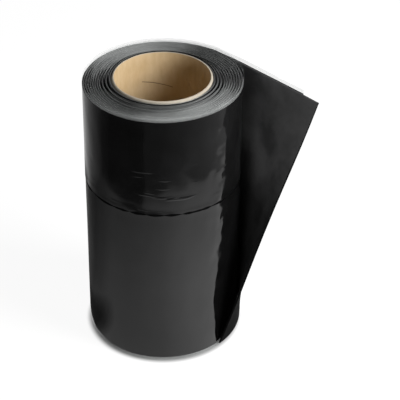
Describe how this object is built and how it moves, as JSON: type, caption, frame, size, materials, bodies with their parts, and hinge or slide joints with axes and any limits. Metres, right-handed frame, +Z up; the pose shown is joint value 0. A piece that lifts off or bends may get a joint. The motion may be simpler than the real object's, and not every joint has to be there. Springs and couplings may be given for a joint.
{
  "type": "roll of rubber flashing tape",
  "caption": "Wide roll of black self-adhesive rubber flashing tape on a paper core, clear split liner outside, loose end peeled off the roll at the top.",
  "frame": {"origin": "on the core's axis at the floor the roll stands on", "axes": "+Z up the core's axis; +X to the side that the loose tail reaches out on; the picture is taken from -Y"},
  "size_m": [0.1838, 0.1258, 0.2369],
  "materials": {
    "core_paper": "matt tan paperboard, pale at the cut ends",
    "tape_rubber": "matt black rubber with a fine sheet grain",
    "liner_film": "clear glossy film, milky where it stands free"
  },
  "bodies": {
    "root": {"core_tube": "core_paper", "tape_roll": "tape_rubber", "liner_lower": "liner_film", "liner_upper": "liner_film"}
  },
  "joints": []
}
